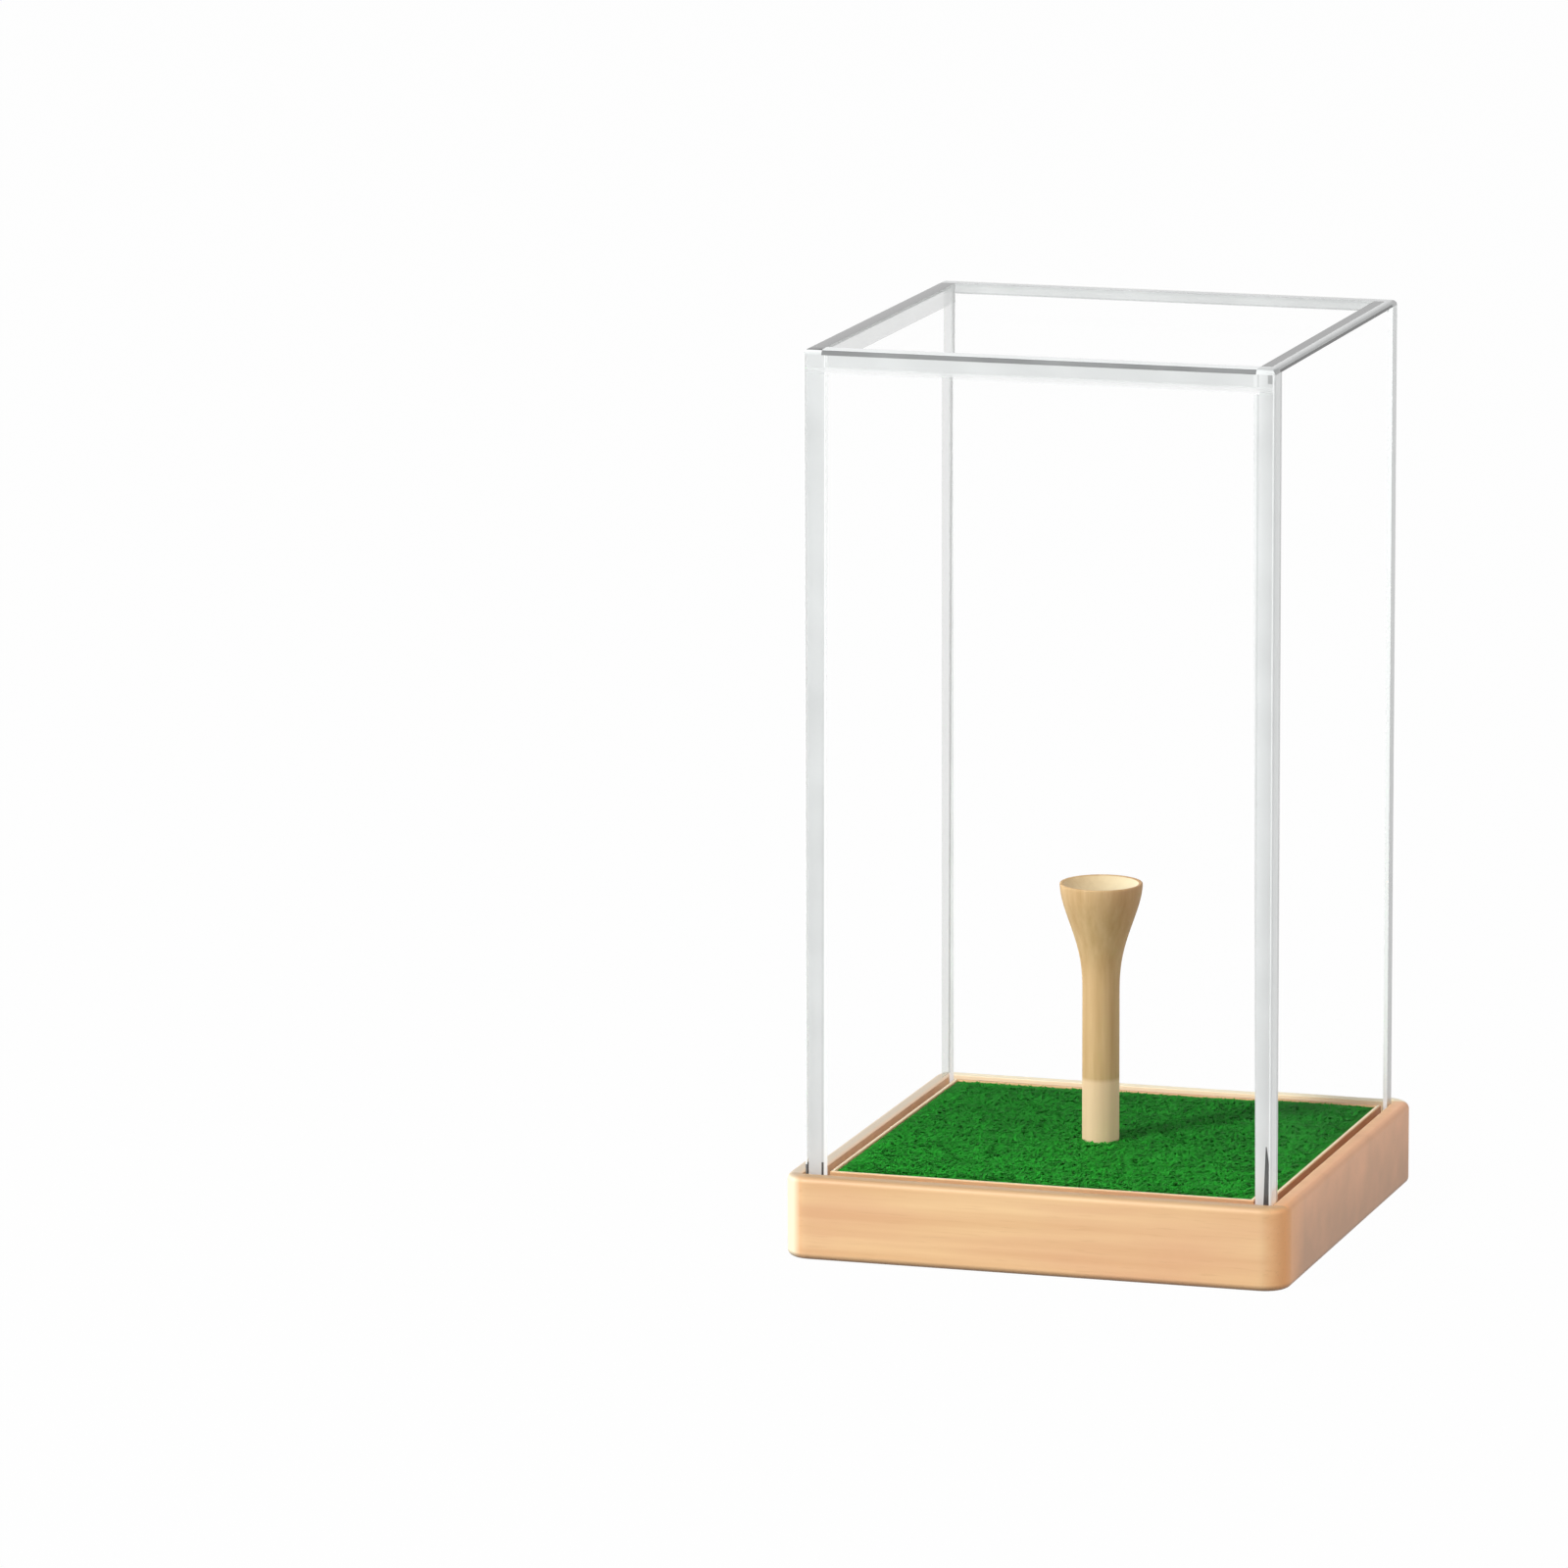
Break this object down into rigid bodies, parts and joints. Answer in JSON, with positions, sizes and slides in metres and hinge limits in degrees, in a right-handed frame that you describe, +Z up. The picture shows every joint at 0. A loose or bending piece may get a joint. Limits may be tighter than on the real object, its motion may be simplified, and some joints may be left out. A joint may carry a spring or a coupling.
{
  "type": "golf ball display case",
  "caption": "Square wooden base with an artificial turf mat and a turned wooden tee, under a tall clear acrylic cover that stands in a groove and lifts straight off.",
  "frame": {"origin": "middle of the underside of the base, on the surface that the case stands on", "axes": "+Z up, the way the cover lifts; -Y to the front, +X to the right"},
  "size_m": [0.08, 0.08, 0.141],
  "materials": {
    "beech": "satin clear-coated beech",
    "turf": "short plastic pile",
    "tee_wood": "turned, sanded, uncoated",
    "acrylic": "clear cast acrylic with polished edges"
  },
  "bodies": {
    "base": {"base_block": "beech", "turf_mat": "turf", "tee": "tee_wood"},
    "cover": {"left_panel": "acrylic", "right_panel": "acrylic", "front_panel": "acrylic", "back_panel": "acrylic", "top_panel": "acrylic"}
  },
  "joints": [
    {"name": "cover_lift", "type": "slide", "parent": "base", "child": "cover", "axis": [0, 0, 1], "range_m": [0, 0.1]}
  ]
}
